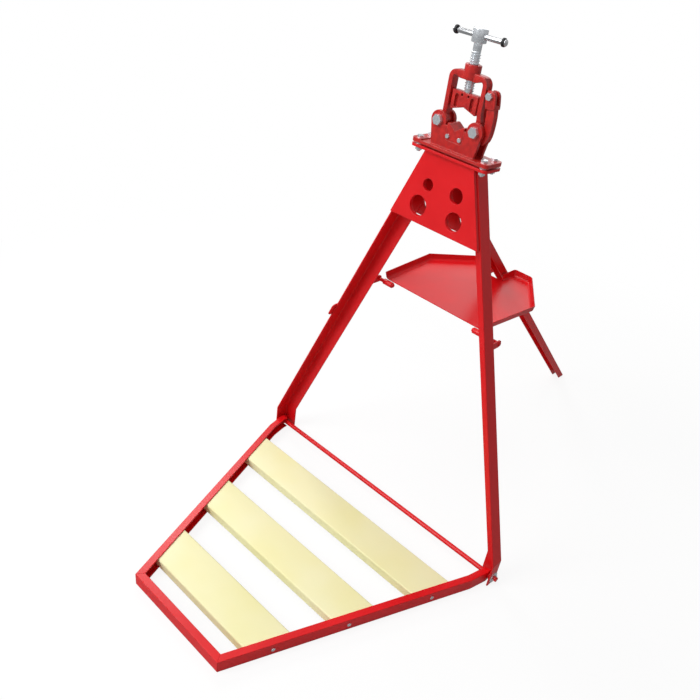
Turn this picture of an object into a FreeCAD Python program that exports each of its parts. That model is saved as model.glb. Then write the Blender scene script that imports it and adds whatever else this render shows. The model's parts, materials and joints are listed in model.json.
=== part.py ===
import FreeCAD, Part
import math
import os

os.makedirs("parts", exist_ok=True)

# Tripod pipe vise stand. Millimetres, +Z up, +Y to the rear.
# Everything is drawn from the floor point below the middle of the footboard rod, and save
# then moves it so that the origin is on the floor in the middle of the whole footprint.

# clearances
running_gap = 0.06
face_gap = 0.3
loose_gap = 1.0
# how far a cutting shape runs past the faces it cuts, and how far bolts run past their nuts
past = 1.0
bolt_end = 2.0
mount_bolt_end = 3.0

# front legs: rolled angle, splayed sideways and leaning back, with upright feet
leg_flange = 38.0
leg_sheet = 3.2
leg_outer_corner = 5.0
foot_height = 64.0
foot_half_width = 388.1
leg_top_height = 910.5
leg_top_half = 65.33
leg_front_at_foot = -18.2
leg_front_at_top = 37.669
leg_splay = (foot_half_width - leg_top_half) / (leg_top_height - foot_height)
leg_lean = (leg_front_at_top - leg_front_at_foot) / (leg_top_height - foot_height)

# footboard rod
rod_radius = 6.0
rod_height = 17.5
rod_overhang = 11.0
rod_washer_radius = 14.5
rod_washer_thick = 2.2
rod_spacer_radius = 10.0
split_pin_radius = 1.6
split_pin_length = 22.0

# footboard frame: a channel open to the inside, drawn level and then tipped until its front
# bar meets the floor
frame_top = 33.8
frame_web = 30.7
frame_flange = 16.8
frame_sheet = 3.0
frame_front_y = -621.0
frame_front_half = 144.4
frame_kink_y = -60.0
frame_kink_inset = 22.2
frame_kink_half = foot_half_width - frame_kink_inset
frame_eye_y = -12.0
frame_eye_inset = 11.1
frame_eye_half = foot_half_width - frame_eye_inset
frame_eye_radius = 14.4
frame_flange_end_y = -1.0

# slats
slat_thick = 22.0
slat_width = 95.0
slat_front_edges = {"slat_rear": -197.8, "slat_middle": -381.4, "slat_front": -561.6}
slat_screw_offsets = {"slat_rear": 36.0, "slat_middle": 26.0, "slat_front": 47.5}
slat_round = 3.0
slat_screw_radius = 2.0
slat_screw_head_radius = 4.4
slat_screw_head_thick = 2.4
slat_screw_length = 26.0

# head: a thick plate across the fronts of the legs and a thinner one across their backs;
# pipe is bent in the four holes that run through both
front_plate_bottom_drop = 153.5
front_plate_bottom = leg_top_height - front_plate_bottom_drop
front_plate_thick = 9.0
front_plate_inset = 2.8
back_plate_bottom_drop = 153.5
back_plate_bottom = leg_top_height - back_plate_bottom_drop
back_plate_thick = 5.0
back_plate_inset = 6.0
# sideways place, depth below the legs' top and radius of each hole
hole_places = [(-36.4, 67.0, 13.0), (-50.5, 116.5, 22.0), (38.3, 65.5, 16.3), (46.8, 117.9, 20.2)]
bending_holes = [(across, leg_top_height - depth, radius) for across, depth, radius in hole_places]

# stand plate and vise flange, bolted together over washers
plate_half_width = 97.0
plate_middle_y = 48.0
plate_half_depth = 29.0
plate_corner = 9.0
stand_plate_thick = 5.5
washer_gap = 4.0
vise_flange_thick = 6.0
bolt_half_spacing_x = 82.0
bolt_half_spacing_y = 17.5
mount_bolt_radius = 4.0
mount_bolt_hole_radius = 4.5
mount_hex = 13.0
mount_head_thick = 5.3
mount_nut_thick = 6.5
mount_washer_radius = 8.0

# rear leg: a channel that folds on a bolt in the head
rear_pivot_y = 88.0
rear_pivot_drop = 87.0
rear_pivot_z = leg_top_height - rear_pivot_drop
rear_slope = math.atan(0.918)
rear_depth = 21.0
rear_half_width = 14.0
rear_sheet = 2.5
rear_eye_radius = 12.0
rear_bolt_radius = 6.0
rear_bolt_hex = 19.0
rear_head_thick = 7.5
rear_nut_thick = 10.0
cheek_gap = 0.5
cheek_sheet = 4.0
cheek_behind = 12.0
cheek_below = 15.0
cheek_above = 20.0
cheek_round = 8.0

# tray
tray_floor_top_drop = 263.5
tray_floor_top = rear_pivot_z - tray_floor_top_drop
tray_sheet = 1.6
tray_lip = 18.0
tray_front_y = 78.0
tray_front_half = 152.0
tray_side_y = 266.0
tray_side_half = 166.0
tray_back_y = 403.0
tray_back_half = 72.0
tray_corner = 14.0
tray_front_hem = 7.0
notch_half_width = 18.0
notch_front_y = 345.5
ear_inner = 124.0
ear_outer = 151.0
ear_round = 7.0
ear_arm_thick = 2.0
ear_lap = 6.0
tray_pin_radius = 4.5
tray_pin_y = 78.0
tray_pin_nub = 2.0
tray_pin_overlap = 3.0
tray_bracket_sheet = 4.0
tray_bracket_half_height = 8.0
tray_bracket_behind = 7.0
tray_bracket_inset = 3.0
tray_arm_share = 0.4

# transport clip on the left leg
clip_height = 453.0
clip_half_height = 17.0
clip_sheet = 3.0
clip_forward = 11.0
clip_lap = 10.0
clip_round = 8.0

# vise base casting
vise_bottom = leg_top_height + stand_plate_thick + washer_gap
wall_thick = 7.0
wall_front_y = 30.0
wall_rear_y = 66.0
wall_foot_half = 53.0
ear_half_spacing = 45.0
ear_rise = 55.0
ear_height = vise_bottom + ear_rise
ear_radius = 18.5
wall_saddle_drop = 5.0
wall_saddle = ear_height - wall_saddle_drop
jaw_block_half = 24.0
pocket_round = 6.0
end_pad_length = 24.0
end_pad_rise = 2.0
hinge_bolt_radius = 6.0
hinge_hex = 19.0
hinge_head_thick = 7.5
hinge_nut_thick = 9.0

# lower jaw
lower_jaw_half = 21.0
lower_jaw_seat_drop = 18.0
lower_jaw_seat = ear_height - lower_jaw_seat_drop
lower_jaw_top_rise = 0.6
lower_jaw_top = ear_height + lower_jaw_top_rise
lower_jaw_apex_drop = 11.0
lower_jaw_apex = ear_height - lower_jaw_apex_drop
lower_jaw_lip_bottom_drop = 32.5
lower_jaw_lip_bottom = ear_height - lower_jaw_lip_bottom_drop
lower_jaw_lip = 3.4
lower_jaw_vee_half = 17.0
jaw_screw_length = 18.0
jaw_screw_x = 15.0
jaw_screw_drop = 24.0
jaw_screw_z = ear_height - jaw_screw_drop
jaw_screw_radius = 2.5
jaw_screw_hex = 8.0
jaw_screw_head = 3.5

# yoke
yoke_front_y = 38.0
yoke_rear_y = 58.0
yoke_window_half = 36.0
yoke_outer_half = 45.6
yoke_window_top_rise = 85.0
yoke_window_top = ear_height + yoke_window_top_rise
yoke_shoulder_rise = 99.0
yoke_shoulder = ear_height + yoke_shoulder_rise
yoke_foot_lift = 9.0
yoke_foot = ear_height + yoke_foot_lift
yoke_corner = 16.0
yoke_groove_depth = 4.6
yoke_groove_half = 5.5
yoke_eye_radius = 13.5
boss_radius = 16.5
boss_bottom_rise = 86.0
boss_bottom = ear_height + boss_bottom_rise
boss_top_rise = 114.0
boss_top = ear_height + boss_top_rise
yoke_lug_radius = 9.0
yoke_lug_half = 4.8
yoke_foot_outer = 49.0
yoke_foot_rise = 20.0
yoke_foot_share = 0.4

# latch hook
hook_pivot_x = 57.0
hook_pivot_rise = 70.0
hook_pivot_z = ear_height + hook_pivot_rise
hook_bolt_radius = 5.0
hook_hex = 13.0
hook_head_thick = 5.0
hook_nut_thick = 6.0
hook_cheek = 5.5
hook_lug_gap = 0.4
hook_head_radius = 10.5
hook_body_half = 7.0
hook_step_rise = 47.0
hook_step_z = ear_height + hook_step_rise
# sideways place and height above the bolts of each corner
hook_corners = [
    (50.5, 67.0),
    (54.5, 47.0),
    (57.5, 12.0),
    (55.5, -2.0),
    (52.5, -6.0),
    (48.6, -9.0),
    (49.0, -13.0),
    (56.0, -20.5),
    (63.0, -23.5),
    (70.5, -13.0),
    (74.5, 10.0),
    (74.5, 30.0),
    (71.0, 55.0),
    (67.0, 70.0),
]
hook_outline = [(across, ear_height + rise) for across, rise in hook_corners]
hook_rounds = [0, 0, 20, 6, 2, 0.8, 1, 5, 3, 12, 12, 10, 6, 0]

# upper jaw
jaw_half = 31.0
jaw_front_y = 40.0
jaw_rear_y = 56.0
jaw_bottom_rise = 26.0
jaw_bottom = ear_height + jaw_bottom_rise
jaw_top_rise = 62.0
jaw_top = ear_height + jaw_top_rise
jaw_apex_rise = 34.5
jaw_apex = ear_height + jaw_apex_rise
jaw_vee_half = 27.0
jaw_guide_half = 35.6
jaw_guide_front_y = 44.0
jaw_guide_rear_y = 52.0
jaw_guide_bottom_rise = 35.0
jaw_guide_bottom = ear_height + jaw_guide_bottom_rise
jaw_slot_x = 18.5
jaw_slot_rise = 45.0
jaw_slot_z = ear_height + jaw_slot_rise
jaw_slot_half_width = 4.0
jaw_slot_half_height = 12.0
jaw_slot_depth = 5.0
jaw_slot_flat = 0.2
jaw_pin_x = 7.8
jaw_pin_rise = 57.0
jaw_pin_z = ear_height + jaw_pin_rise
jaw_pin_radius = 2.0
jaw_pin_depth = 3.0

# screw and its bar
screw_y = 48.0
screw_radius = 10.0
screw_neck_radius = 8.3
screw_tip_radius = 6.0
screw_tip_bottom_rise = 47.0
screw_tip_bottom = ear_height + screw_tip_bottom_rise
screw_thread_top_rise = 137.0
screw_thread_top = ear_height + screw_thread_top_rise
screw_head_bottom_rise = 152.0
screw_head_bottom = ear_height + screw_head_bottom_rise
screw_head_top_rise = 177.0
screw_head_top = ear_height + screw_head_top_rise
screw_head_radius = 14.8
bar_radius = 5.0
bar_half_length = 57.5
bar_rise = 12.0
bar_height = screw_head_bottom + bar_rise
ring_radius = 8.0
ring_length = 5.5
cap_radius = 6.6
cap_length = 3.0


def vec(x, y, z):
    return FreeCAD.Vector(x, y, z)


def box(low, high):
    size = [high[i] - low[i] for i in range(3)]
    return Part.makeBox(size[0], size[1], size[2], vec(*low))


def rod_along_x(radius, x_from, x_to, y, z):
    return Part.makeCylinder(radius, x_to - x_from, vec(x_from, y, z), vec(1, 0, 0))


def rod_along_y(radius, y_from, y_to, x, z):
    return Part.makeCylinder(radius, y_to - y_from, vec(x, y_from, z), vec(0, 1, 0))


def rod_along_z(radius, z_from, z_to, x, y):
    return Part.makeCylinder(radius, z_to - z_from, vec(x, y, z_from), vec(0, 0, 1))


def prism(points, sweep):
    closed = Part.makePolygon(points + [points[0]])
    return Part.Face(closed).extrude(sweep)


def toward(start, end):
    length = math.hypot(end[0] - start[0], end[1] - start[1])
    return ((end[0] - start[0]) / length, (end[1] - start[1]) / length)


def rounded_face(corners, rounds, place):
    # a flat face whose corners are rounded by their own radii; place puts a pair into space
    starts = []
    middles = []
    ends = []
    for i, corner in enumerate(corners):
        before = toward(corner, corners[i - 1])
        after = toward(corner, corners[(i + 1) % len(corners)])
        if rounds[i] == 0:
            starts.append(corner)
            middles.append(None)
            ends.append(corner)
            continue
        cosine = before[0] * after[0] + before[1] * after[1]
        half = math.acos(max(-1.0, min(1.0, cosine))) / 2
        setback = rounds[i] / math.tan(half)
        mid = (before[0] + after[0], before[1] + after[1])
        length = math.hypot(mid[0], mid[1])
        reach = rounds[i] / math.sin(half) - rounds[i]
        starts.append((corner[0] + before[0] * setback, corner[1] + before[1] * setback))
        middles.append((corner[0] + mid[0] / length * reach, corner[1] + mid[1] / length * reach))
        ends.append((corner[0] + after[0] * setback, corner[1] + after[1] * setback))
    edges = []
    for i in range(len(corners)):
        if math.dist(ends[i - 1], starts[i]) > 0.001:
            edges.append(Part.makeLine(place(ends[i - 1]), place(starts[i])))
        if middles[i] is not None:
            arc = Part.Arc(place(starts[i]), place(middles[i]), place(ends[i]))
            edges.append(arc.toShape())
    return Part.Face(Part.Wire(edges))


def flat_plate(corners, rounds, z_from, z_to):
    face = rounded_face(corners, rounds, lambda pair: vec(pair[0], pair[1], z_from))
    return face.extrude(vec(0, 0, z_to - z_from))


def upright_plate(corners, rounds, y_from, y_to):
    face = rounded_face(corners, rounds, lambda pair: vec(pair[0], y_from, pair[1]))
    return face.extrude(vec(0, y_to - y_from, 0))


def hexagon(across_flats, thick, turn):
    reach = across_flats / math.sqrt(3)
    points = []
    for i in range(6):
        angle = math.radians(60 * i + turn)
        points.append(vec(reach * math.cos(angle), reach * math.sin(angle), 0))
    body = prism(points, vec(0, 0, thick))
    flare = Part.makeCone(reach + thick, across_flats / 2 - 0.3, thick + reach - across_flats / 2 + 0.3)
    return body.common(flare)


def bolt_head(across_flats, thick, place, direction):
    # a hexagon whose crown points along direction, seated at place
    head = hexagon(across_flats, thick, 0)
    head.Placement = FreeCAD.Placement(place, FreeCAD.Rotation(vec(0, 0, 1), direction))
    return head


def mirrored(shape):
    return shape.mirror(vec(0, 0, 0), vec(1, 0, 0))


def save(shape, node):
    placed = shape.copy()
    placed.translate(vec(0, -footprint_middle_y, 0))
    placed.exportStep("parts/" + node + ".step")


def leg_outer_x(z):
    return foot_half_width - leg_splay * (z - foot_height)


def leg_front_y(z):
    return leg_front_at_foot + leg_lean * (z - foot_height)


leg_side_sheet = leg_sheet * math.hypot(1, leg_splay)
leg_flange_span = leg_flange * math.hypot(1, leg_splay)


def leg_inner_x(z):
    return leg_outer_x(z) - leg_side_sheet


def right_leg_shape():
    x = foot_half_width
    y = leg_front_at_foot
    corners = [
        (x, y),
        (x, y + leg_flange),
        (x - leg_flange_span, y + leg_flange),
        (x - leg_flange_span, y + leg_flange - leg_sheet),
        (x - leg_side_sheet, y + leg_flange - leg_sheet),
        (x - leg_side_sheet, y),
    ]
    rounds = [1.0, leg_outer_corner, 1.0, 0, leg_outer_corner - leg_sheet, 0]
    section = rounded_face(corners, rounds, lambda pair: vec(pair[0], pair[1], foot_height))
    rise = leg_top_height - foot_height
    upper = section.extrude(vec(-leg_splay * rise, leg_lean * rise, rise))
    foot = section.extrude(vec(0, 0, -foot_height))
    leg = upper.fuse(foot).removeSplitter()
    reach = foot_half_width + past
    return leg.cut(rod_along_x(rod_radius + running_gap, 0, reach, 0, rod_height))


def rod_set():
    inner = foot_half_width - leg_side_sheet
    end = foot_half_width + rod_overhang
    rod = rod_along_x(rod_radius, -end, end, 0, rod_height)
    washers = []
    spacers = []
    pins = []
    for side in (-1, 1):
        low = min(side * foot_half_width, side * (foot_half_width + rod_washer_thick))
        washer = rod_along_x(rod_washer_radius, low, low + rod_washer_thick, 0, rod_height)
        washers.append(washer.cut(rod_along_x(rod_radius + running_gap, -end, end, 0, rod_height)))
        spacer_thick = inner - frame_eye_half - face_gap
        low = min(side * inner, side * (inner - spacer_thick))
        spacer = rod_along_x(rod_spacer_radius, low, low + spacer_thick, 0, rod_height)
        spacers.append(spacer.cut(rod_along_x(rod_radius + running_gap, -end, end, 0, rod_height)))
        pin_x = side * (foot_half_width + rod_washer_thick + split_pin_radius + face_gap)
        pin = rod_along_y(split_pin_radius, -split_pin_length / 2, split_pin_length / 2, pin_x, rod_height)
        rod = rod.cut(rod_along_y(split_pin_radius + running_gap, -rod_radius, rod_radius, pin_x, rod_height))
        pins.append(pin)
    return rod, Part.makeCompound(washers), Part.makeCompound(spacers), Part.makeCompound(pins)


def footboard_tip():
    # the angle that lowers the front bar's web onto the floor
    drop = rod_height - (frame_top - frame_web)
    reach = math.hypot(drop, frame_front_y)
    return math.degrees(math.atan2(-frame_front_y, drop) - math.acos(rod_height / reach))


def lay_footboard(shape):
    shape.rotate(vec(0, 0, rod_height), vec(1, 0, 0), footboard_tip())
    return shape


def side_path(inset):
    # plan of the side bar's outer face, moved inwards by inset
    outer = [
        (frame_eye_half, frame_eye_radius),
        (frame_eye_half, frame_eye_y),
        (frame_kink_half, frame_kink_y),
        (frame_front_half, frame_front_y),
    ]
    moved = []
    for i, point in enumerate(outer):
        before = toward(outer[i - 1], point) if i > 0 else toward(point, outer[i + 1])
        after = toward(point, outer[i + 1]) if i < len(outer) - 1 else before
        if i == len(outer) - 1:
            after = (-1.0, 0.0)
        first = (before[1], -before[0])
        second = (after[1], -after[0])
        scale = 1 + first[0] * second[0] + first[1] * second[1]
        shift = ((first[0] + second[0]) / scale, (first[1] + second[1]) / scale)
        moved.append((point[0] + inset * shift[0], point[1] + inset * shift[1]))
    return moved


def side_bar_shape():
    outer = side_path(0)
    web_inner = side_path(frame_sheet)
    flange_inner = side_path(frame_flange)
    low = frame_top - frame_web
    web_plan = [vec(x, y, low) for x, y in outer + web_inner[::-1]]
    web = prism(web_plan, vec(0, 0, frame_web))
    wide = frame_eye_half + frame_flange
    behind = frame_eye_radius + loose_gap
    bar = web
    for flange_low in (low, frame_top - frame_sheet):
        flange_plan = [vec(x, y, flange_low) for x, y in outer + flange_inner[::-1]]
        flange = prism(flange_plan, vec(0, 0, frame_sheet))
        bar = bar.fuse(flange.cut(box((0, frame_flange_end_y, 0), (wide, behind, frame_top + past))))
    bar = bar.removeSplitter()
    corner = box((0, 0, 0), (wide, behind, frame_top + past))
    bar = bar.cut(corner.cut(rod_along_x(frame_eye_radius, 0, wide, 0, rod_height)))
    return bar.cut(rod_along_x(rod_radius + running_gap, 0, wide, 0, rod_height))


def front_bar_shape():
    outer_x = side_path(0)[-1][0]
    web_x, web_y = side_path(frame_sheet)[-1]
    flange_x, flange_y = side_path(frame_flange)[-1]
    low = frame_top - frame_web
    y = frame_front_y
    web_plan = [(-outer_x, y), (outer_x, y), (web_x, web_y), (-web_x, web_y)]
    web = prism([vec(px, py, low) for px, py in web_plan], vec(0, 0, frame_web))
    flange_plan = [(-outer_x, y), (outer_x, y), (flange_x, flange_y), (-flange_x, flange_y)]
    bar = web
    for flange_low in (low, frame_top - frame_sheet):
        bar = bar.fuse(prism([vec(px, py, flange_low) for px, py in flange_plan], vec(0, 0, frame_sheet)))
    return bar.removeSplitter()


def side_x_at(y, inset):
    # half-width of the side bar's long run at a distance y along the board
    front = side_path(inset)[-1]
    kink = side_path(inset)[-2]
    return front[0] + (kink[0] - front[0]) * (y - front[1]) / (kink[1] - front[1])


def screw_along_web(y, shank_radius, length, head_radius):
    # a slat screw driven inwards through the right side bar's web
    kink = side_path(0)[-2]
    front = side_path(0)[-1]
    run = toward(front, kink)
    inward = vec(-run[1], run[0], 0)
    place = vec(side_x_at(y, 0), y, frame_top - frame_sheet - slat_thick / 2)
    shank = Part.makeCylinder(shank_radius, length, place, inward)
    if head_radius == 0:
        return shank
    crown = place - inward * slat_screw_head_thick
    head = Part.makeCylinder(head_radius, slat_screw_head_thick, crown, inward)
    head = head.makeChamfer(0.7, [head.Edges[0]]) if len(head.Edges) == 3 else head
    return shank.fuse(head).removeSplitter()


def slat_shape(front_y):
    rear_y = front_y + slat_width
    inset = frame_sheet + face_gap
    front_x = side_x_at(front_y, inset)
    rear_x = side_x_at(rear_y, inset)
    low = frame_top - frame_sheet - slat_thick
    plan = [(-front_x, front_y), (front_x, front_y), (rear_x, rear_y), (-rear_x, rear_y)]
    slat = prism([vec(x, y, low) for x, y in plan], vec(0, 0, slat_thick))
    along = []
    for edge in slat.Edges:
        start, end = edge.Vertexes[0].Point, edge.Vertexes[1].Point
        if abs(start.y - end.y) < 0.01 and abs(start.z - end.z) < 0.01:
            along.append(edge)
    return slat.makeFillet(slat_round, along)


def footboard_set():
    side = side_bar_shape()
    front = front_bar_shape()
    slats = {}
    screws = []
    for node, front_y in slat_front_edges.items():
        screw_y_along = front_y + slat_screw_offsets[node]
        slat = slat_shape(front_y)
        hole = screw_along_web(screw_y_along, slat_screw_radius + running_gap, slat_screw_length, 0)
        side = side.cut(hole)
        slats[node] = slat.cut(hole).cut(mirrored(hole))
        screw = screw_along_web(screw_y_along, slat_screw_radius, slat_screw_length, slat_screw_head_radius)
        screws.append(screw)
        screws.append(mirrored(screw))
    save(lay_footboard(mirrored(side)), "footboard_side_left")
    save(lay_footboard(side), "footboard_side_right")
    save(lay_footboard(front), "footboard_front_bar")
    for node, slat in slats.items():
        save(lay_footboard(slat), node)
    save(lay_footboard(Part.makeCompound(screws)), "slat_screws")


def leg_back_y(z):
    return leg_front_y(z) + leg_flange


def leaning_plate(low, high, inset, front_of, thick):
    # a plate with the legs' splay and lean; front_of gives its front face's y at a height
    face = [
        vec(-leg_outer_x(low) + inset, front_of(low), low),
        vec(leg_outer_x(low) - inset, front_of(low), low),
        vec(leg_outer_x(high) - inset, front_of(high), high),
        vec(-leg_outer_x(high) + inset, front_of(high), high),
    ]
    plate = prism(face, vec(0, thick, 0))
    for x, z, radius in bending_holes:
        plate = plate.cut(rod_along_y(radius, 0, leg_back_y(high) + 2 * thick, x, z))
    return plate


def front_plate_y(z):
    return leg_front_y(z) - front_plate_thick


def head_front_plate_shape():
    return leaning_plate(front_plate_bottom, leg_top_height, front_plate_inset, front_plate_y, front_plate_thick)


def head_back_plate_shape():
    return leaning_plate(back_plate_bottom, leg_top_height, back_plate_inset, leg_back_y, back_plate_thick)


def plate_corners():
    x = plate_half_width
    front = plate_middle_y - plate_half_depth
    rear = plate_middle_y + plate_half_depth
    return [(-x, front), (x, front), (x, rear), (-x, rear)]


def bolt_places():
    places = []
    for side_x in (-1, 1):
        for side_y in (-1, 1):
            x = side_x * bolt_half_spacing_x
            places.append((x, plate_middle_y + side_y * bolt_half_spacing_y))
    return places


stand_plate_top = leg_top_height + stand_plate_thick
vise_flange_bottom = stand_plate_top + washer_gap
vise_flange_top = vise_flange_bottom + vise_flange_thick


def drilled(shape):
    for x, y in bolt_places():
        hole_top = vise_flange_top + end_pad_rise + past
        shape = shape.cut(rod_along_z(mount_bolt_hole_radius, leg_top_height - past, hole_top, x, y))
    return shape


def head_top_plate_shape():
    plate = flat_plate(plate_corners(), [plate_corner] * 4, leg_top_height, stand_plate_top)
    return drilled(plate)


def mounting_set():
    bolts = []
    nuts = []
    washers = []
    for x, y in bolt_places():
        seat = vise_flange_top + end_pad_rise
        end = leg_top_height - mount_nut_thick - mount_bolt_end
        head = bolt_head(mount_hex, mount_head_thick, vec(x, y, seat), vec(0, 0, 1))
        bolts.append(head.fuse(rod_along_z(mount_bolt_radius, end, seat, x, y)).removeSplitter())
        through = rod_along_z(mount_bolt_radius + running_gap, 0, seat, x, y)
        nut = bolt_head(mount_hex, mount_nut_thick, vec(x, y, leg_top_height), vec(0, 0, -1))
        nuts.append(nut.cut(through))
        washer = rod_along_z(mount_washer_radius, stand_plate_top, vise_flange_bottom, x, y)
        washers.append(washer.cut(through))
    save(Part.makeCompound(bolts), "mounting_bolts")
    save(Part.makeCompound(nuts), "mounting_nuts")
    save(Part.makeCompound(washers), "mounting_washers")


def rear_leg_bracket_shape():
    # two cheeks behind the back plate, joined over the leg's end
    inner = rear_half_width + cheek_gap
    outer = inner + cheek_sheet
    low = rear_pivot_z - cheek_below
    high = rear_pivot_z + cheek_above
    behind = rear_pivot_y + cheek_behind
    low_front = leg_back_y(low) + back_plate_thick
    high_front = leg_back_y(high) + back_plate_thick
    corners = [(low_front, low), (high_front, high), (behind, high), (behind, low)]
    face = rounded_face(corners, [0, 0, 0, cheek_round], lambda pair: vec(inner, pair[0], pair[1]))
    cheek = face.extrude(vec(cheek_sheet, 0, 0))
    side = [(high_front, high - cheek_sheet), (high_front, high), (behind, high), (behind, high - cheek_sheet)]
    web = prism([vec(-outer, y, z) for y, z in side], vec(2 * outer, 0, 0))
    bracket = cheek.fuse(mirrored(cheek)).fuse(web).removeSplitter()
    return bracket.cut(rod_along_x(rear_bolt_radius + running_gap, -outer, outer, rear_pivot_y, rear_pivot_z))


def rear_leg_shape():
    # drawn level along +Y from its pivot, then turned down to its standing slope
    drop = rear_pivot_z
    half = rear_depth / 2
    reach = (drop - half * math.cos(rear_slope)) / math.sin(rear_slope)
    w = rear_half_width
    outer = box((-w, 0, -half), (w, reach + rear_depth, half))
    eye = rod_along_x(rear_eye_radius, -w, w, 0, 0)
    inner_w = w - rear_sheet
    hollow = box((-inner_w, -rear_depth, -rear_depth), (inner_w, reach + 2 * rear_depth, half - rear_sheet))
    leg = outer.fuse(eye).cut(hollow)
    leg = leg.cut(rod_along_x(rear_bolt_radius + running_gap, -w, w, 0, 0))
    leg.rotate(vec(0, 0, 0), vec(1, 0, 0), -math.degrees(rear_slope))
    leg.translate(vec(0, rear_pivot_y, rear_pivot_z))
    floor_cut = box((-w - past, 0, -drop), (w + past, 2 * drop, 0))
    return leg.cut(floor_cut)


def rear_bolt_set():
    outer = rear_half_width + cheek_gap + cheek_sheet
    y = rear_pivot_y
    z = rear_pivot_z
    end = outer + rear_nut_thick + bolt_end
    shank = rod_along_x(rear_bolt_radius, -outer, end, y, z)
    head = bolt_head(rear_bolt_hex, rear_head_thick, vec(-outer, y, z), vec(-1, 0, 0))
    nut = bolt_head(rear_bolt_hex, rear_nut_thick, vec(outer, y, z), vec(1, 0, 0))
    save(shank.fuse(head).removeSplitter(), "rear_leg_bolt")
    save(nut.cut(rod_along_x(rear_bolt_radius + running_gap, 0, end, y, z)), "rear_leg_nut")


tray_pin_z = tray_floor_top - ear_round


def tray_plan(inset):
    front = tray_front_y
    notch = notch_half_width + inset
    back = tray_back_y - inset
    front_x = tray_front_half - inset
    side_x = tray_side_half - inset
    slant = inset * tray_arm_share
    corners = [
        (-front_x, front),
        (front_x, front),
        (side_x, tray_side_y - slant),
        (tray_back_half - slant, back),
        (notch, back),
        (notch, notch_front_y - inset),
        (-notch, notch_front_y - inset),
        (-notch, back),
        (-tray_back_half + slant, back),
        (-side_x, tray_side_y - slant),
    ]
    side_round = tray_corner - inset
    rounds = [0, 0, side_round, side_round, 3, 3, 3, 3, side_round, side_round]
    return corners, rounds


def tray_ear(x_from, x_to):
    # a tab that runs forward from the floor and curls round the pin
    gap = tray_pin_radius + running_gap
    curl = rod_along_x(ear_round, x_from, x_to, tray_pin_y, tray_pin_z)
    arm_top = tray_pin_z + ear_round
    arm = box((x_from, tray_pin_y, arm_top - ear_arm_thick), (x_to, tray_front_y + ear_lap, arm_top))
    return curl.fuse(arm).cut(rod_along_x(gap, x_from - past, x_to + past, tray_pin_y, tray_pin_z))


def tray_shape():
    bottom = tray_floor_top - tray_sheet
    top = tray_floor_top + tray_lip
    outer_corners, outer_rounds = tray_plan(0)
    inner_corners, inner_rounds = tray_plan(tray_sheet)
    inner_corners[0] = (inner_corners[0][0], tray_front_y - past)
    inner_corners[1] = (inner_corners[1][0], tray_front_y - past)
    block = flat_plate(outer_corners, outer_rounds, bottom, top)
    hollow = flat_plate(inner_corners, inner_rounds, tray_floor_top, top + past)
    tray = block.cut(hollow)
    notch = notch_half_width
    mouth_low = (-notch, notch_front_y - 2 * tray_sheet, tray_floor_top)
    tray = tray.cut(box(mouth_low, (notch, notch_front_y + past, top + past)))
    hem_low = bottom - tray_front_hem
    hem_half = ear_inner - tray_pin_overlap - loose_gap
    hem = box((-hem_half, tray_front_y, hem_low), (hem_half, tray_front_y + tray_sheet, bottom))
    tray = tray.fuse(hem)
    for x_from in (ear_inner, -ear_outer):
        x_to = x_from + ear_outer - ear_inner
        tray = tray.fuse(tray_ear(x_from, x_to))
    return tray.removeSplitter()


def tray_pin_set():
    # short pins behind the legs, each carried by two plates welded to a leg's rear flange
    brackets = []
    start = ear_inner - tray_pin_overlap
    low = tray_pin_z - tray_bracket_half_height
    high = tray_pin_z + tray_bracket_half_height
    behind = tray_pin_y + tray_bracket_behind
    inner = leg_outer_x(low) - leg_flange_span + tray_bracket_inset
    outer = leg_outer_x(high) - tray_bracket_inset - tray_bracket_sheet
    end = outer + tray_bracket_sheet + tray_pin_nub
    bore = rod_along_x(tray_pin_radius + running_gap, start, end, tray_pin_y, tray_pin_z)
    corners = [(leg_back_y(low), low), (leg_back_y(high), high), (behind, high), (behind, low)]
    rounds = [0, 0, tray_bracket_behind - 1, tray_bracket_behind - 1]
    pin = rod_along_x(tray_pin_radius, start, end, tray_pin_y, tray_pin_z)
    pins = [pin, mirrored(pin)]
    for x in (inner, outer):
        face = rounded_face(corners, rounds, lambda pair: vec(x, pair[0], pair[1]))
        plate = face.extrude(vec(tray_bracket_sheet, 0, 0)).cut(bore)
        brackets += [plate, mirrored(plate)]
    save(Part.makeCompound(pins), "tray_pins")
    save(Part.makeCompound(brackets), "tray_brackets")


def leg_clip_shape():
    # a rounded tab on the left leg's outer face, standing forward of its front edge
    low = clip_height - clip_half_height
    high = clip_height + clip_half_height
    corners = [(-clip_forward, low), (clip_lap, low), (clip_lap, high), (-clip_forward, high)]

    def place(pair):
        return vec(-leg_outer_x(pair[1]), leg_front_y(pair[1]) + pair[0], pair[1])

    face = rounded_face(corners, [clip_round, 0, 0, clip_round], place)
    return face.extrude(vec(-clip_sheet, 0, 0))


def vise_wall(y_from):
    y_to = y_from + wall_thick
    foot = vise_flange_bottom
    ear_edge = ear_half_spacing + ear_radius
    corners = [(-wall_foot_half, foot), (wall_foot_half, foot)]
    corners += [(ear_edge, ear_height), (ear_half_spacing, ear_height), (ear_half_spacing, wall_saddle)]
    corners += [(-ear_half_spacing, wall_saddle), (-ear_half_spacing, ear_height), (-ear_edge, ear_height)]
    wall = upright_plate(corners, [0] * len(corners), y_from, y_to)
    for side in (-1, 1):
        wall = wall.fuse(rod_along_y(ear_radius, y_from, y_to, side * ear_half_spacing, ear_height))
    return wall


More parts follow.
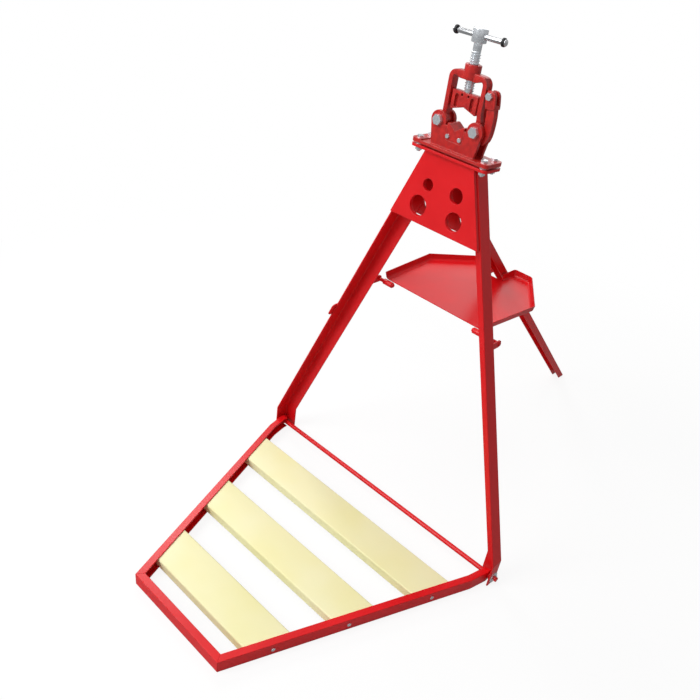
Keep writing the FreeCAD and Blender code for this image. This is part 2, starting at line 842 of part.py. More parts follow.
def vise_base_shape():
    base = flat_plate(plate_corners(), [plate_corner] * 4, vise_flange_bottom, vise_flange_top)
    front = plate_middle_y - plate_half_depth
    rear = plate_middle_y + plate_half_depth
    outer = plate_half_width
    inner = outer - end_pad_length
    pad_corners = [(inner, front), (outer, front), (outer, rear), (inner, rear)]
    pad_top = vise_flange_top + end_pad_rise
    pad = flat_plate(pad_corners, [0, plate_corner, plate_corner, 0], vise_flange_bottom, pad_top)
    base = base.fuse(pad).fuse(mirrored(pad))
    base = base.fuse(vise_wall(wall_front_y)).fuse(vise_wall(wall_rear_y - wall_thick))
    seat = lower_jaw_seat
    block_half = jaw_block_half
    block = box((-block_half, wall_front_y, vise_flange_bottom), (block_half, wall_rear_y, seat))
    base = base.fuse(block).removeSplitter()
    half = lower_jaw_half + face_gap
    base = base.cut(box((-half, wall_front_y - past, seat), (half, wall_rear_y + past, ear_height + ear_radius)))
    pocket_low = lower_jaw_lip_bottom - face_gap
    pocket_rear = wall_front_y + lower_jaw_lip + face_gap
    corners = [(-half, pocket_low), (half, pocket_low), (half, seat + past), (-half, seat + past)]
    base = base.cut(upright_plate(corners, [pocket_round, pocket_round, 0, 0], wall_front_y - past, pocket_rear))
    for side in (-1, 1):
        x = side * ear_half_spacing
        hole = rod_along_y(hinge_bolt_radius + running_gap, wall_front_y - past, wall_rear_y + past, x, ear_height)
        base = base.cut(hole)
        base = base.cut(jaw_screw(side, jaw_screw_radius + running_gap, False))
    return drilled(base).removeSplitter()


def jaw_screw(side, radius, with_head):
    x = side * jaw_screw_x
    shank = rod_along_y(radius, wall_front_y, wall_front_y + jaw_screw_length, x, jaw_screw_z)
    if not with_head:
        return shank
    head = bolt_head(jaw_screw_hex, jaw_screw_head, vec(x, wall_front_y, jaw_screw_z), vec(0, -1, 0))
    return shank.fuse(head).removeSplitter()


def lower_jaw_shape():
    half = lower_jaw_half
    low = lower_jaw_lip_bottom
    seat = lower_jaw_seat
    top = lower_jaw_top
    corners = [(-half, low), (half, low), (half, seat + past), (-half, seat + past)]
    lip = upright_plate(corners, [pocket_round, pocket_round, 0, 0], wall_front_y, wall_front_y + lower_jaw_lip)
    jaw = lip.fuse(box((-half, wall_front_y, seat), (half, wall_rear_y, top))).removeSplitter()
    vee_half = lower_jaw_vee_half
    y = wall_front_y - past
    vee = [vec(0, y, lower_jaw_apex), vec(vee_half, y, top), vec(vee_half, y, top + past)]
    vee += [vec(-vee_half, y, top + past), vec(-vee_half, y, top)]
    jaw = jaw.cut(prism(vee, vec(0, wall_rear_y - wall_front_y + 2 * past, 0)))
    for side in (-1, 1):
        jaw = jaw.cut(jaw_screw(side, jaw_screw_radius + running_gap, False))
    return jaw


def ear_bolt_set(side, bolt_node, nut_node):
    x = side * ear_half_spacing
    z = ear_height
    end = wall_rear_y + hinge_nut_thick + bolt_end
    shank = rod_along_y(hinge_bolt_radius, wall_front_y, end, x, z)
    head = bolt_head(hinge_hex, hinge_head_thick, vec(x, wall_front_y, z), vec(0, -1, 0))
    nut = bolt_head(hinge_hex, hinge_nut_thick, vec(x, wall_rear_y, z), vec(0, 1, 0))
    save(shank.fuse(head).removeSplitter(), bolt_node)
    save(nut.cut(rod_along_y(hinge_bolt_radius + running_gap, 0, end, x, z)), nut_node)


def yoke_shape():
    outer = yoke_outer_half
    window = yoke_window_half
    top = yoke_shoulder
    foot = yoke_foot
    corners = [
        (-outer, ear_height),
        (-window, ear_height),
        (-window, yoke_window_top),
        (window, yoke_window_top),
        (window, foot),
        (yoke_foot_outer, foot),
        (yoke_foot_outer, foot + yoke_foot_rise * yoke_foot_share),
        (outer, foot + yoke_foot_rise),
        (outer, top),
        (-outer, top),
    ]
    rounds = [0, 0, 6, 6, 2, 3, 3, 6, yoke_corner, yoke_corner]
    yoke = upright_plate(corners, rounds, yoke_front_y, yoke_rear_y)
    yoke = yoke.fuse(rod_along_y(yoke_eye_radius, yoke_front_y, yoke_rear_y, -ear_half_spacing, ear_height))
    yoke = yoke.fuse(rod_along_z(boss_radius, boss_bottom, boss_top, 0, screw_y))
    groove_low = screw_y - yoke_groove_half
    groove_high = screw_y + yoke_groove_half
    bottom = foot + yoke_foot_rise + yoke_groove_half
    ceiling = top - yoke_corner
    for side in (-1, 1):
        near = side * (outer - yoke_groove_depth)
        far = side * (outer + past)
        low_x, high_x = min(near, far), max(near, far)
        yoke = yoke.cut(box((low_x, groove_low, bottom), (high_x, groove_high, ceiling)))
    lug_low = screw_y - yoke_lug_half
    lug_high = screw_y + yoke_lug_half
    lug = rod_along_y(yoke_lug_radius, lug_low, lug_high, hook_pivot_x, hook_pivot_z)
    root_x = outer - yoke_groove_depth
    neck_low = hook_pivot_z - yoke_lug_radius
    neck = box((root_x, lug_low, neck_low), (hook_pivot_x, lug_high, hook_pivot_z + yoke_lug_radius))
    yoke = yoke.fuse(lug).fuse(neck).removeSplitter()
    screw_hole = rod_along_z(screw_radius + running_gap, yoke_window_top - past, boss_top + past, 0, screw_y)
    yoke = yoke.cut(screw_hole)
    hinge = rod_along_y(hinge_bolt_radius + running_gap, 0, plate_middle_y * 2, -ear_half_spacing, ear_height)
    pivot = rod_along_y(hook_bolt_radius + running_gap, lug_low, lug_high, hook_pivot_x, hook_pivot_z)
    return yoke.cut(hinge).cut(pivot)


def hook_front_y():
    return screw_y - yoke_lug_half - hook_lug_gap - hook_cheek


def hook_rear_y():
    return screw_y + yoke_lug_half + hook_lug_gap + hook_cheek


def hook_shape():
    front = hook_front_y()
    rear = hook_rear_y()
    blank = upright_plate(hook_outline, hook_rounds, front, rear)
    blank = blank.fuse(rod_along_y(hook_head_radius, front, rear, hook_pivot_x, hook_pivot_z))
    low_z = ear_height - hook_head_radius * 4
    for y_from, y_to in ((front, screw_y - hook_body_half), (screw_y + hook_body_half, rear)):
        blank = blank.cut(box((0, y_from, low_z), (2 * hook_pivot_x, y_to, hook_step_z)))
    slot_half = yoke_lug_half + hook_lug_gap
    slot_low = hook_pivot_z - yoke_lug_radius - hook_head_radius
    slot_high = hook_pivot_z + 2 * hook_head_radius
    slot_low_y = screw_y - slot_half
    slot_high_y = screw_y + slot_half
    slot = box((0, slot_low_y, slot_low), (2 * hook_pivot_x, slot_high_y, slot_high))
    hook = blank.cut(slot).removeSplitter()
    bolt_hole = rod_along_y(hook_bolt_radius + running_gap, front - past, rear + past, hook_pivot_x, hook_pivot_z)
    return hook.cut(bolt_hole)


def hook_bolt_set():
    x = hook_pivot_x
    z = hook_pivot_z
    end = hook_rear_y() + hook_nut_thick + bolt_end
    shank = rod_along_y(hook_bolt_radius, hook_front_y() - face_gap, end, x, z)
    head = bolt_head(hook_hex, hook_head_thick, vec(x, hook_front_y() - face_gap, z), vec(0, -1, 0))
    nut = bolt_head(hook_hex, hook_nut_thick, vec(x, hook_rear_y() + face_gap, z), vec(0, 1, 0))
    save(shank.fuse(head).removeSplitter(), "hook_bolt")
    save(nut.cut(rod_along_y(hook_bolt_radius + running_gap, 0, end, x, z)), "hook_nut")


def upper_jaw_shape():
    jaw = box((-jaw_half, jaw_front_y, jaw_bottom), (jaw_half, jaw_rear_y, jaw_top))
    guide_low = (-jaw_guide_half, jaw_guide_front_y, jaw_guide_bottom)
    jaw = jaw.fuse(box(guide_low, (jaw_guide_half, jaw_guide_rear_y, jaw_top))).removeSplitter()
    y = jaw_front_y - past
    vee = [vec(0, y, jaw_apex), vec(-jaw_vee_half, y, jaw_bottom), vec(-jaw_vee_half, y, jaw_bottom - past)]
    vee += [vec(jaw_vee_half, y, jaw_bottom - past), vec(jaw_vee_half, y, jaw_bottom)]
    jaw = jaw.cut(prism(vee, vec(0, jaw_rear_y - jaw_front_y + 2 * past, 0)))
    low = jaw_slot_z - jaw_slot_half_height
    high = jaw_slot_z + jaw_slot_half_height
    slot_half = jaw_slot_half_width
    for side in (-1, 1):
        left = side * jaw_slot_x - slot_half
        right = side * jaw_slot_x + slot_half
        corners = [(left, low), (right, low), (right, high), (left, high)]
        rounds = [slot_half - jaw_slot_flat] * 4
        jaw = jaw.cut(upright_plate(corners, rounds, jaw_front_y - past, jaw_front_y + jaw_slot_depth))
        pin_x = side * jaw_pin_x
        pin_end = jaw_front_y + jaw_pin_depth
        jaw = jaw.cut(rod_along_y(jaw_pin_radius, jaw_front_y - past, pin_end, pin_x, jaw_pin_z))
    socket = rod_along_z(screw_tip_radius + running_gap, screw_tip_bottom - face_gap, jaw_top + past, 0, screw_y)
    return jaw.cut(socket)


def screw_shape():
    tip = rod_along_z(screw_tip_radius, screw_tip_bottom, jaw_top + 2 * loose_gap, 0, screw_y)
    thread = rod_along_z(screw_radius, jaw_top + loose_gap, screw_thread_top, 0, screw_y)
    neck = rod_along_z(screw_neck_radius, screw_thread_top - past, screw_head_bottom + past, 0, screw_y)
    head = rod_along_z(screw_head_radius, screw_head_bottom, screw_head_top, 0, screw_y)
    reach = screw_head_radius
    screw = tip.fuse(thread).fuse(neck).fuse(head).removeSplitter()
    return screw.cut(rod_along_x(bar_radius + running_gap, -reach - past, reach + past, screw_y, bar_height))


def bar_set():
    end = bar_half_length
    save(rod_along_x(bar_radius, -end, end, screw_y, bar_height), "tommy_bar")
    rings = []
    caps = []
    bore = rod_along_x(bar_radius + running_gap, -end, end, screw_y, bar_height)
    for side in (-1, 1):
        low = min(side * end, side * (end - ring_length))
        ring = rod_along_x(ring_radius, low, low + ring_length, screw_y, bar_height)
        rings.append(ring.cut(bore))
        low = min(side * end, side * (end + cap_length))
        caps.append(rod_along_x(cap_radius, low, low + cap_length, screw_y, bar_height))
    save(Part.makeCompound(rings), "bar_rings")
    save(Part.makeCompound(caps), "bar_caps")


footprint_front_y = lay_footboard(front_bar_shape()).BoundBox.YMin
footprint_rear_y = rear_leg_shape().BoundBox.YMax
footprint_middle_y = (footprint_front_y + footprint_rear_y) / 2
right_leg = right_leg_shape()
save(right_leg, "right_leg")
save(mirrored(right_leg), "left_leg")
save(leg_clip_shape(), "leg_clip")
pivot_rod, rod_washers, rod_spacers, rod_split_pins = rod_set()
save(pivot_rod, "pivot_rod")
save(rod_washers, "rod_washers")
save(rod_spacers, "rod_spacers")
save(rod_split_pins, "rod_split_pins")
footboard_set()
save(head_front_plate_shape(), "head_front_plate")
save(head_back_plate_shape(), "head_back_plate")
save(head_top_plate_shape(), "head_top_plate")
mounting_set()
save(rear_leg_bracket_shape(), "rear_leg_bracket")
save(rear_leg_shape(), "rear_leg")
rear_bolt_set()
save(tray_shape(), "tray")
tray_pin_set()
save(vise_base_shape(), "vise_base")
save(lower_jaw_shape(), "lower_jaw")
lower_jaw_screws = [jaw_screw(side, jaw_screw_radius, True) for side in (-1, 1)]
save(Part.makeCompound(lower_jaw_screws), "lower_jaw_screws")
ear_bolt_set(-1, "yoke_hinge_bolt", "yoke_hinge_nut")
ear_bolt_set(1, "latch_bolt", "latch_nut")
save(yoke_shape(), "yoke")
save(hook_shape(), "latch_hook")
hook_bolt_set()
save(upper_jaw_shape(), "upper_jaw")
save(screw_shape(), "clamp_screw")
bar_set()
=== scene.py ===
import json
import math

import bpy
from mathutils import Matrix, Vector


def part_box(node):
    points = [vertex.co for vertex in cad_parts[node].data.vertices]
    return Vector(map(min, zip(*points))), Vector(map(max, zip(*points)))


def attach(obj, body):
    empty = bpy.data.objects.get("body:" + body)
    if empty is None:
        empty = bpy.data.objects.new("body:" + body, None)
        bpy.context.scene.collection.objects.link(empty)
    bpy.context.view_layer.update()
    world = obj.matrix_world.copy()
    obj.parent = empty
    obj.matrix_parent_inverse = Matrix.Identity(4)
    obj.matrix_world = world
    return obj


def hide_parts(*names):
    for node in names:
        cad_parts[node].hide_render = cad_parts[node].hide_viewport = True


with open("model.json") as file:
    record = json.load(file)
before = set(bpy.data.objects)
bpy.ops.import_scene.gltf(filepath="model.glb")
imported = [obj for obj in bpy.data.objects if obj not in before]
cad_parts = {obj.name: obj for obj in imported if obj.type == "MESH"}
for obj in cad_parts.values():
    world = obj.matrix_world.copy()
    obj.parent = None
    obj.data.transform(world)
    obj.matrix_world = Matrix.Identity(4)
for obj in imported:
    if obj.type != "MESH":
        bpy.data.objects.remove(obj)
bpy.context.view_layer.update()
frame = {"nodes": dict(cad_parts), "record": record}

print("frame loaded:", len(frame["nodes"]), "nodes")


# ---- small helpers

def hexToLinear(code):
    channels = [int(code[i:i + 2], 16) / 255 for i in (0, 2, 4)]
    return [c / 12.92 if c <= 0.04045 else ((c + 0.055) / 1.055) ** 2.4 for c in channels] + [1.0]


def addNode(material, kind, settings=None, inputs=None):
    # an input is either a plain value or a (node, output) pair to link from
    node = material.node_tree.nodes.new(kind)
    for name, value in (settings or {}).items():
        setattr(node, name, value)
    for name, value in (inputs or {}).items():
        if isinstance(value, tuple) and isinstance(value[0], bpy.types.Node):
            material.node_tree.links.new(value[0].outputs[value[1]], node.inputs[name])
        else:
            node.inputs[name].default_value = value
    return node


def startMaterial(name):
    material = bpy.data.materials.new(name)
    material.use_nodes = True
    material.node_tree.nodes.clear()
    return material


def finishMaterial(material, shader):
    addNode(material, "ShaderNodeOutputMaterial", {}, {"Surface": (shader, 0)})
    return material


def setRamp(ramp, stops):
    # stops are (position, linear colour) pairs
    elements = ramp.color_ramp.elements
    while len(elements) < len(stops):
        elements.new(0.5)
    for element, (position, colour) in zip(elements, stops):
        element.position = position
        element.color = colour


# ---- materials

enamelSettings = {
    "base": "E2121A",        # full red of the sprayed coat
    "deep": "DA1017",        # where the coat is thinner over the mill surface
    "mottleMm": 90.0,
    "peelMm": 2.2,           # orange peel of a sprayed gloss coat
    "peelDepthMm": 0.4,
    "peelStrength": 0.06,
    "edgeMm": 2.0,           # folded and sheared edges are a little round under paint
    "roughness": (0.25, 0.38),    # gloss enough that a lamp low behind it leaves a pale sheen
    "specular": 0.34,
}


def makeSprayedEnamel(settings):
    # sprayed gloss enamel on rolled steel: an even red with soft reflections and a faint orange peel
    material = startMaterial("sprayed red enamel")
    where = addNode(material, "ShaderNodeTexCoord")
    mottle = addNode(material, "ShaderNodeTexNoise", {}, {
        "Vector": (where, "Object"), "Scale": 1000 / settings["mottleMm"], "Detail": 3.0, "Roughness": 0.5})
    tint = addNode(material, "ShaderNodeValToRGB", {}, {"Fac": (mottle, "Fac")})
    setRamp(tint, [(0.35, hexToLinear(settings["deep"])), (0.62, hexToLinear(settings["base"]))])
    peel = addNode(material, "ShaderNodeTexNoise", {}, {
        "Vector": (where, "Object"), "Scale": 1000 / settings["peelMm"], "Detail": 1.0})
    edge = addNode(material, "ShaderNodeBevel", {"samples": 6}, {"Radius": settings["edgeMm"] / 1000})
    bump = addNode(material, "ShaderNodeBump", {}, {
        "Strength": settings["peelStrength"], "Distance": settings["peelDepthMm"] / 1000,
        "Height": (peel, "Fac"), "Normal": (edge, "Normal")})
    gloss = addNode(material, "ShaderNodeMapRange", {}, {
        "Value": (mottle, "Fac"), "To Min": settings["roughness"][0], "To Max": settings["roughness"][1]})
    shader = addNode(material, "ShaderNodeBsdfPrincipled", {}, {
        "Base Color": (tint, "Color"), "Roughness": (gloss, "Result"), "IOR": 1.5,
        "Specular IOR Level": settings["specular"], "Normal": (bump, "Normal")})
    return finishMaterial(material, shader)


castingSettings = {
    "base": "C9241F",
    "deep": "B21C1B",
    "edgeHighlight": "E06A62",        # painted highlight: a paler pink red along the castings' edges, where the rounded edges would catch the lamps
    "lumpMm": 9.0,
    "sandMm": 1.6,           # sand-cast skin under the paint
    "sandDepthMm": 0.6,
    "sandStrength": 0.22,
    "edgeMm": 1.6,
    "highlightSpan": (0.80, 0.99),    # how far the rounded normal turns from the flat one where the painted highlight shows
    "highlightShare": 0.55,
    "roughness": 0.30,
    "specular": 0.5,
}


def makeCastEnamel(settings):
    # brushed enamel over sand-cast iron: softer gloss, fine pits and a painted pale pink highlight along the
    # edges
    material = startMaterial("red enamel on cast iron")
    where = addNode(material, "ShaderNodeTexCoord")
    lumps = addNode(material, "ShaderNodeTexNoise", {}, {
        "Vector": (where, "Object"), "Scale": 1000 / settings["lumpMm"], "Detail": 3.0})
    sand = addNode(material, "ShaderNodeTexNoise", {}, {
        "Vector": (where, "Object"), "Scale": 1000 / settings["sandMm"], "Detail": 2.0})
    tint = addNode(material, "ShaderNodeValToRGB", {}, {"Fac": (lumps, "Fac")})
    setRamp(tint, [(0.35, hexToLinear(settings["deep"])), (0.65, hexToLinear(settings["base"]))])
    edge = addNode(material, "ShaderNodeBevel", {"samples": 6}, {"Radius": settings["edgeMm"] / 1000})
    rawNormal = addNode(material, "ShaderNodeNewGeometry")
    turned = addNode(material, "ShaderNodeVectorMath", {"operation": "DOT_PRODUCT"}, {
        0: (edge, "Normal"), 1: (rawNormal, "Normal")})
    # painted highlight: near the edges the colour is mixed towards the pale pink
    highlightedEdge = addNode(material, "ShaderNodeMapRange", {}, {
        "Value": (turned, "Value"), "From Min": settings["highlightSpan"][0], "From Max": settings["highlightSpan"][1],
        "To Min": settings["highlightShare"], "To Max": 0.0})
    colour = addNode(material, "ShaderNodeMix", {"data_type": "RGBA"}, {
        "Factor": (highlightedEdge, "Result"), "A": (tint, "Color"), "B": hexToLinear(settings["edgeHighlight"])})
    bump = addNode(material, "ShaderNodeBump", {}, {
        "Strength": settings["sandStrength"], "Distance": settings["sandDepthMm"] / 1000,
        "Height": (sand, "Fac"), "Normal": (edge, "Normal")})
    shader = addNode(material, "ShaderNodeBsdfPrincipled", {}, {
        "Base Color": (colour, "Result"), "Roughness": settings["roughness"], "IOR": 1.5,
        "Specular IOR Level": settings["specular"], "Normal": (bump, "Normal")})
    return finishMaterial(material, shader)


slatSettings = {
    "base": "F3EFBE",
    "warm": "F1ECB0",
    "blotchesPerMetre": 6.0,
    "grainMm": 3.5,          # softwood grain shows faintly through two coats of paint
    "grainStretch": 0.03,    # drawn out along the board
    "grainDepthMm": 0.4,
    "grainStrength": 0.10,
    "edgeMm": 1.5,
    "roughness": 0.42,
}


def makeSlatPaint(settings):
    # pale yellow paint on planed boards: satin, with the grain just visible along the board
    material = startMaterial("pale yellow paint on planed pine")
    where = addNode(material, "ShaderNodeTexCoord")
    along = addNode(material, "ShaderNodeMapping", {}, {
        "Vector": (where, "Object"), "Scale": (settings["grainStretch"], 1.0, 1.0)})
    grain = addNode(material, "ShaderNodeTexNoise", {}, {
        "Vector": (along, "Vector"), "Scale": 1000 / settings["grainMm"], "Detail": 4.0, "Roughness": 0.6})
    broad = addNode(material, "ShaderNodeTexNoise", {}, {
        "Vector": (where, "Object"), "Scale": settings["blotchesPerMetre"], "Detail": 2.0})
    tint = addNode(material, "ShaderNodeValToRGB", {}, {"Fac": (broad, "Fac")})
    setRamp(tint, [(0.40, hexToLinear(settings["base"])), (0.66, hexToLinear(settings["warm"]))])
    edge = addNode(material, "ShaderNodeBevel", {"samples": 4}, {"Radius": settings["edgeMm"] / 1000})
    bump = addNode(material, "ShaderNodeBump", {}, {
        "Strength": settings["grainStrength"], "Distance": settings["grainDepthMm"] / 1000,
        "Height": (grain, "Fac"), "Normal": (edge, "Normal")})
    shader = addNode(material, "ShaderNodeBsdfPrincipled", {}, {
        "Base Color": (tint, "Color"), "Roughness": settings["roughness"], "IOR": 1.46,
        "Normal": (bump, "Normal")})
    return finishMaterial(material, shader)


zincSettings = {
    "base": "ECF0F4",
    "dull": "DCE1E7",
    "spangleMm": 3.0,
    "edgeMm": 0.4,
    "metallic": 0.72,        # the passivated skin scatters part of the light
    "roughness": 0.22,
}


def makeZincPlate(settings):
    # bright zinc plate on turned and headed steel: silvery, a little cloudy
    material = startMaterial("bright zinc plated steel")
    where = addNode(material, "ShaderNodeTexCoord")
    cloud = addNode(material, "ShaderNodeTexNoise", {}, {
        "Vector": (where, "Object"), "Scale": 1000 / settings["spangleMm"], "Detail": 2.0})
    tint = addNode(material, "ShaderNodeValToRGB", {}, {"Fac": (cloud, "Fac")})
    setRamp(tint, [(0.3, hexToLinear(settings["dull"])), (0.7, hexToLinear(settings["base"]))])
    edge = addNode(material, "ShaderNodeBevel", {"samples": 4}, {"Radius": settings["edgeMm"] / 1000})
    shader = addNode(material, "ShaderNodeBsdfPrincipled", {}, {
        "Base Color": (tint, "Color"), "Metallic": settings["metallic"],
        "Roughness": settings["roughness"], "Normal": (edge, "Normal")})
    return finishMaterial(material, shader)


chromeSettings = {
    "base": "DADCDF",
    "lineStretch": 0.02,     # drawing lines run along the bar
    "linesPerMetre": 1600.0,
    "roughness": (0.2, 0.28),
}


def makeBarChrome(settings):
    # bright plate on a drawn bar: softly blurred reflections with faint drawing lines
    material = startMaterial("bright plated drawn bar")
    where = addNode(material, "ShaderNodeTexCoord")
    along = addNode(material, "ShaderNodeMapping", {}, {
        "Vector": (where, "Object"), "Scale": (settings["lineStretch"], 1.0, 1.0)})
    lines = addNode(material, "ShaderNodeTexNoise", {}, {
        "Vector": (along, "Vector"), "Scale": settings["linesPerMetre"]})
    gloss = addNode(material, "ShaderNodeMapRange", {}, {
        "Value": (lines, "Fac"), "To Min": settings["roughness"][0], "To Max": settings["roughness"][1]})
    shader = addNode(material, "ShaderNodeBsdfPrincipled", {}, {
        "Base Color": hexToLinear(settings["base"]), "Metallic": 1.0, "Roughness": (gloss, "Result")})
    return finishMaterial(material, shader)


rubberSettings = {
    "deep": "17181A",
    "dusty": "2B2C2F",
    "specksPerMetre": 700.0,
    "roughness": 0.6,
}


def makeRingRubber(settings):
    # moulded black rubber: matt, with a dusty skin
    material = startMaterial("moulded black rubber")
    where = addNode(material, "ShaderNodeTexCoord")
    dust = addNode(material, "ShaderNodeTexNoise", {}, {
        "Vector": (where, "Object"), "Scale": settings["specksPerMetre"], "Detail": 2.0})
    tint = addNode(material, "ShaderNodeValToRGB", {}, {"Fac": (dust, "Fac")})
    setRamp(tint, [(0.3, hexToLinear(settings["deep"])), (0.75, hexToLinear(settings["dusty"]))])
    shader = addNode(material, "ShaderNodeBsdfPrincipled", {}, {
        "Base Color": (tint, "Color"), "Roughness": settings["roughness"], "IOR": 1.52})
    return finishMaterial(material, shader)


finishes = {
    "frame_paint": makeSprayedEnamel(enamelSettings),
    "casting_paint": makeCastEnamel(castingSettings),
    "painted_slats": makeSlatPaint(slatSettings),
    "zinc": makeZincPlate(zincSettings),
    "bar_chrome": makeBarChrome(chromeSettings),
    "ring_rubber": makeRingRubber(rubberSettings),
}

for part in frame["record"]["subparts"]:
    for place in frame["nodes"][part["node"]].material_slots:
        place.link = "OBJECT"
        place.material = finishes[part["material_slot"]]
print("materials made")


# ---- modelling helpers

unit = 0.001
bodyOf = {node: body for body, nodes in frame["record"]["behaviour"]["bodies"].items() for node in nodes}


def boxOf(node):
    low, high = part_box(node)
    return [c / unit for c in low], [c / unit for c in high]


def middleOf(node, axis):
    low, high = boxOf(node)
    return (low[axis] + high[axis]) / 2


def startPiece(name, kind="plane", **options):
    # the primitive that a piece is worked out of, left in edit mode with all of it selected
    bpy.ops.object.select_all(action="DESELECT")
    makers = {"plane": bpy.ops.mesh.primitive_plane_add, "cylinder": bpy.ops.mesh.primitive_cylinder_add,
              "cube": bpy.ops.mesh.primitive_cube_add}
    makers[kind](**options)
    piece = bpy.context.object
    piece.name = name
    piece.data.name = name
    bpy.ops.object.mode_set(mode="EDIT")
    bpy.ops.mesh.select_all(action="SELECT")
    return piece


def leaveEdit():
    if bpy.context.object and bpy.context.object.mode == "EDIT":
        bpy.ops.object.mode_set(mode="OBJECT")


def pickFaces(piece, test):
    # selects the faces whose centre and normal pass the test, and returns to edit mode
    bpy.ops.object.mode_set(mode="EDIT")
    bpy.ops.mesh.select_mode(type="FACE")
    bpy.ops.mesh.select_all(action="DESELECT")
    bpy.ops.object.mode_set(mode="OBJECT")
    for face in piece.data.polygons:
        face.select = test(face.center / unit, face.normal)
    bpy.ops.object.mode_set(mode="EDIT")


def pickEdges(piece, test):
    # selects the edges whose two ends pass the test, and returns to edit mode
    bpy.ops.mesh.select_mode(type="EDGE")
    bpy.ops.mesh.select_all(action="DESELECT")
    bpy.ops.object.mode_set(mode="OBJECT")
    for edge in piece.data.edges:
        first, second = [piece.data.vertices[i].co for i in edge.vertices]
        edge.select = test(first, second)
    bpy.ops.object.mode_set(mode="EDIT")


def startBlock(name, place, size):
    # a cube drawn out to its size in metres about its place
    block = startPiece(name, "cube", size=1, location=place)
    bpy.ops.transform.resize(value=size, center_override=place)
    return block


def bevelSharp(widthMm, segments=3, degrees=35):
    bpy.ops.mesh.select_mode(type="EDGE")
    bpy.ops.mesh.select_all(action="DESELECT")
    bpy.ops.mesh.edges_select_sharp(sharpness=math.radians(degrees))
    bpy.ops.mesh.bevel(offset=widthMm * unit, segments=segments, affect="EDGES", clamp_overlap=True)


def cleanUp():
    bpy.ops.mesh.select_all(action="SELECT")
    bpy.ops.mesh.remove_doubles(threshold=0.00001)
    bpy.ops.mesh.normals_make_consistent(inside=False)
    bpy.ops.object.mode_set(mode="OBJECT")


def applyModifier(piece, kind, **settings):
    leaveEdit()
    bpy.context.view_layer.objects.active = piece
    modifier = piece.modifiers.new(kind, kind)
    for name, value in settings.items():
        setattr(modifier, name, value)
    bpy.ops.object.modifier_apply(modifier=modifier.name)


def joinPieces(parts):
    leaveEdit()
    bpy.ops.object.select_all(action="DESELECT")
    for part in parts:
        part.select_set(True)
    bpy.context.view_layer.objects.active = parts[0]
    if len(parts) > 1:
        bpy.ops.object.join()
    return parts[0]


def finishPiece(parts, name, nodes, finish, smoothDegrees=38):
    # joins the parts, settles the piece at the origin, gives it its finish and lets it stand for its CAD nodes
    piece = joinPieces(parts)
    piece.name = name
    bpy.ops.object.transform_apply(location=True, rotation=True, scale=True)
    bpy.ops.object.shade_smooth_by_angle(angle=math.radians(smoothDegrees))
    piece.data.materials.clear()
    piece.data.materials.append(finishes[finish])
    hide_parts(*nodes)
    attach(piece, bodyOf[nodes[0]])


def outlineFace(name, points):
    # one flat face drawn point by point; points are places in millimetres
    piece = startPiece(name, size=0.01, location=(0, 0, 0))
    bpy.ops.mesh.merge(type="CENTER")
    bpy.ops.mesh.select_mode(type="VERT")
    bpy.ops.mesh.select_all(action="SELECT")
    bpy.ops.transform.translate(value=[c * unit for c in points[0]])
    for before, after in zip(points, points[1:]):
        step = [(b - a) * unit for a, b in zip(before, after)]
        bpy.ops.mesh.extrude_region_move(TRANSFORM_OT_translate={"value": step})
    bpy.ops.mesh.select_all(action="SELECT")
    bpy.ops.mesh.edge_face_add()
    return piece


def sweepRibbon(name, stations, frontY, rearY):
    # a bar of rectangular section led through stations (inner x, z, outer x, z) in an upright plane
    spots = []
    for innerX, innerZ, outerX, outerZ in stations:
        middle = Vector(((innerX + outerX) / 2, (frontY + rearY) / 2, (innerZ + outerZ) / 2)) * unit
        across = Vector((outerX - innerX, outerZ - innerZ))
        spots.append((middle, across.length * unit, math.atan2(across.y, across.x)))
    middle, width, angle = spots[0]
    piece = startPiece(name, size=1, location=middle)
    bpy.ops.transform.resize(value=(width, (rearY - frontY) * unit, 1), center_override=middle)
    bpy.ops.transform.rotate(value=angle, orient_axis="Y", center_override=middle)
    for (middle, width, angle), (nextMiddle, nextWidth, nextAngle) in zip(spots, spots[1:]):
        bpy.ops.mesh.extrude_region_move(TRANSFORM_OT_translate={"value": (0, 0, 0)})
        bpy.ops.transform.rotate(value=-angle, orient_axis="Y", center_override=middle)
        bpy.ops.transform.resize(value=(nextWidth / width, 1, 1), center_override=middle)
        bpy.ops.transform.rotate(value=nextAngle, orient_axis="Y", center_override=middle)
        bpy.ops.transform.translate(value=nextMiddle - middle)
    bpy.ops.mesh.select_all(action="SELECT")
    bpy.ops.mesh.normals_make_consistent(inside=False)
    return piece, spots


def grooveOuterSide(piece, spots, rimMm, depthMm):
    # a channel sunk along the ribbon's outer side between two rims
    def isOuter(centre, normal):
        if abs(normal.y) > 0.3:
            return False
        place = centre * unit
        middle, width, angle = min(spots, key=lambda spot: (spot[0] - place).length)
        outward = Vector((math.cos(angle), 0, math.sin(angle)))
        return (place - middle).dot(outward) > width * 0.3 and normal.dot(outward) > 0.5

    pickFaces(piece, isOuter)
    bpy.ops.mesh.inset(thickness=rimMm * unit, depth=-depthMm * unit)


def makeDrum(name, axis, place, radius, lowMm, highMm, boreMm=0, bevelMm=0.8, sides=40):
    # a turned collar along an axis; with a bore its two ends are inset and bridged through
    middle = list(place)
    middle[axis] = (lowMm + highMm) / 2
    turns = [(0, math.pi / 2, 0), (math.pi / 2, 0, 0), (0, 0, 0)]
    piece = startPiece(name, "cylinder", vertices=sides, radius=radius * unit, depth=(highMm - lowMm) * unit,
                       location=[c * unit for c in middle], rotation=turns[axis])
    leaveEdit()
    bpy.ops.object.transform_apply(location=True, rotation=True, scale=True)
    if boreMm:
        pickFaces(piece, lambda centre, normal: abs(normal[axis]) > 0.9)
        bpy.ops.mesh.inset(thickness=(radius - boreMm) * unit, use_individual=True)
        bpy.ops.mesh.bridge_edge_loops()
    bpy.ops.object.mode_set(mode="EDIT")
    bevelSharp(bevelMm, 3, 50)
    cleanUp()
    return piece


# ---- yoke: a ribbed arch with a channel down its outer side, a screw boss, an eye and a lug

